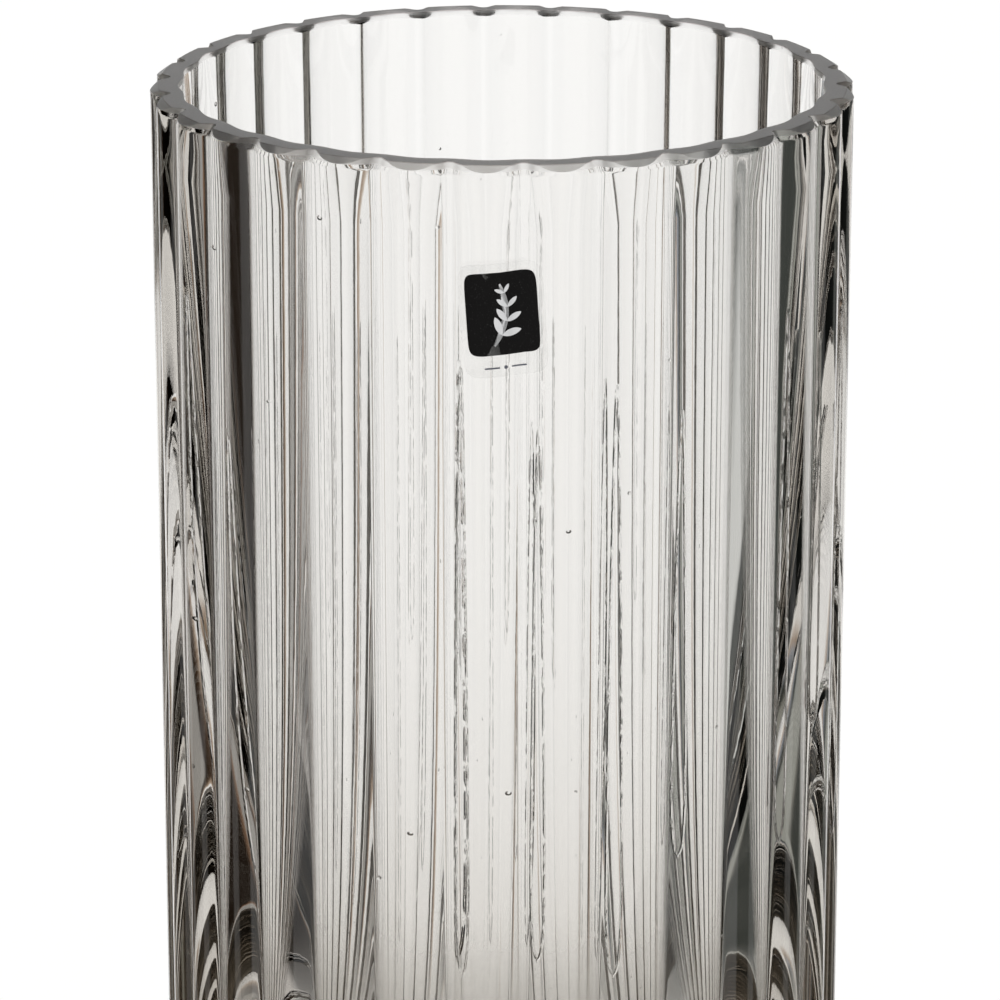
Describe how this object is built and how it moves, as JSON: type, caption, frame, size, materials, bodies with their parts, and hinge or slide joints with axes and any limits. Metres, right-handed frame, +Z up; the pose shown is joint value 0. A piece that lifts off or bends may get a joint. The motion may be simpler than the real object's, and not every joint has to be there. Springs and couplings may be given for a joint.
{
  "type": "glass cylinder vase",
  "caption": "Heavy pressed glass cylinder vase with convex vertical ribs, a flat ground rim, a cavity that narrows over a thick solid base, and a small adhesive label.",
  "frame": {"origin": "centre of the foot, on the surface that the vase stands on", "axes": "+Z up along the vase's own axis, -Y towards the front where the label is, +X to the right seen from the front"},
  "size_m": [0.1248, 0.125, 0.25],
  "materials": {
    "glass": "clear, light smoky grey, glossy pressed surface with a fine matt ground rim",
    "clear_film": "clear glossy label film",
    "black_ink": "black print, semi-gloss",
    "silver_ink": "silver print, satin",
    "grey_ink": "dark grey print"
  },
  "bodies": {
    "root": {"glass_body": "glass", "label_film": "clear_film", "label_panel": "black_ink", "label_sprig": "silver_ink", "label_caption": "grey_ink"}
  },
  "joints": []
}
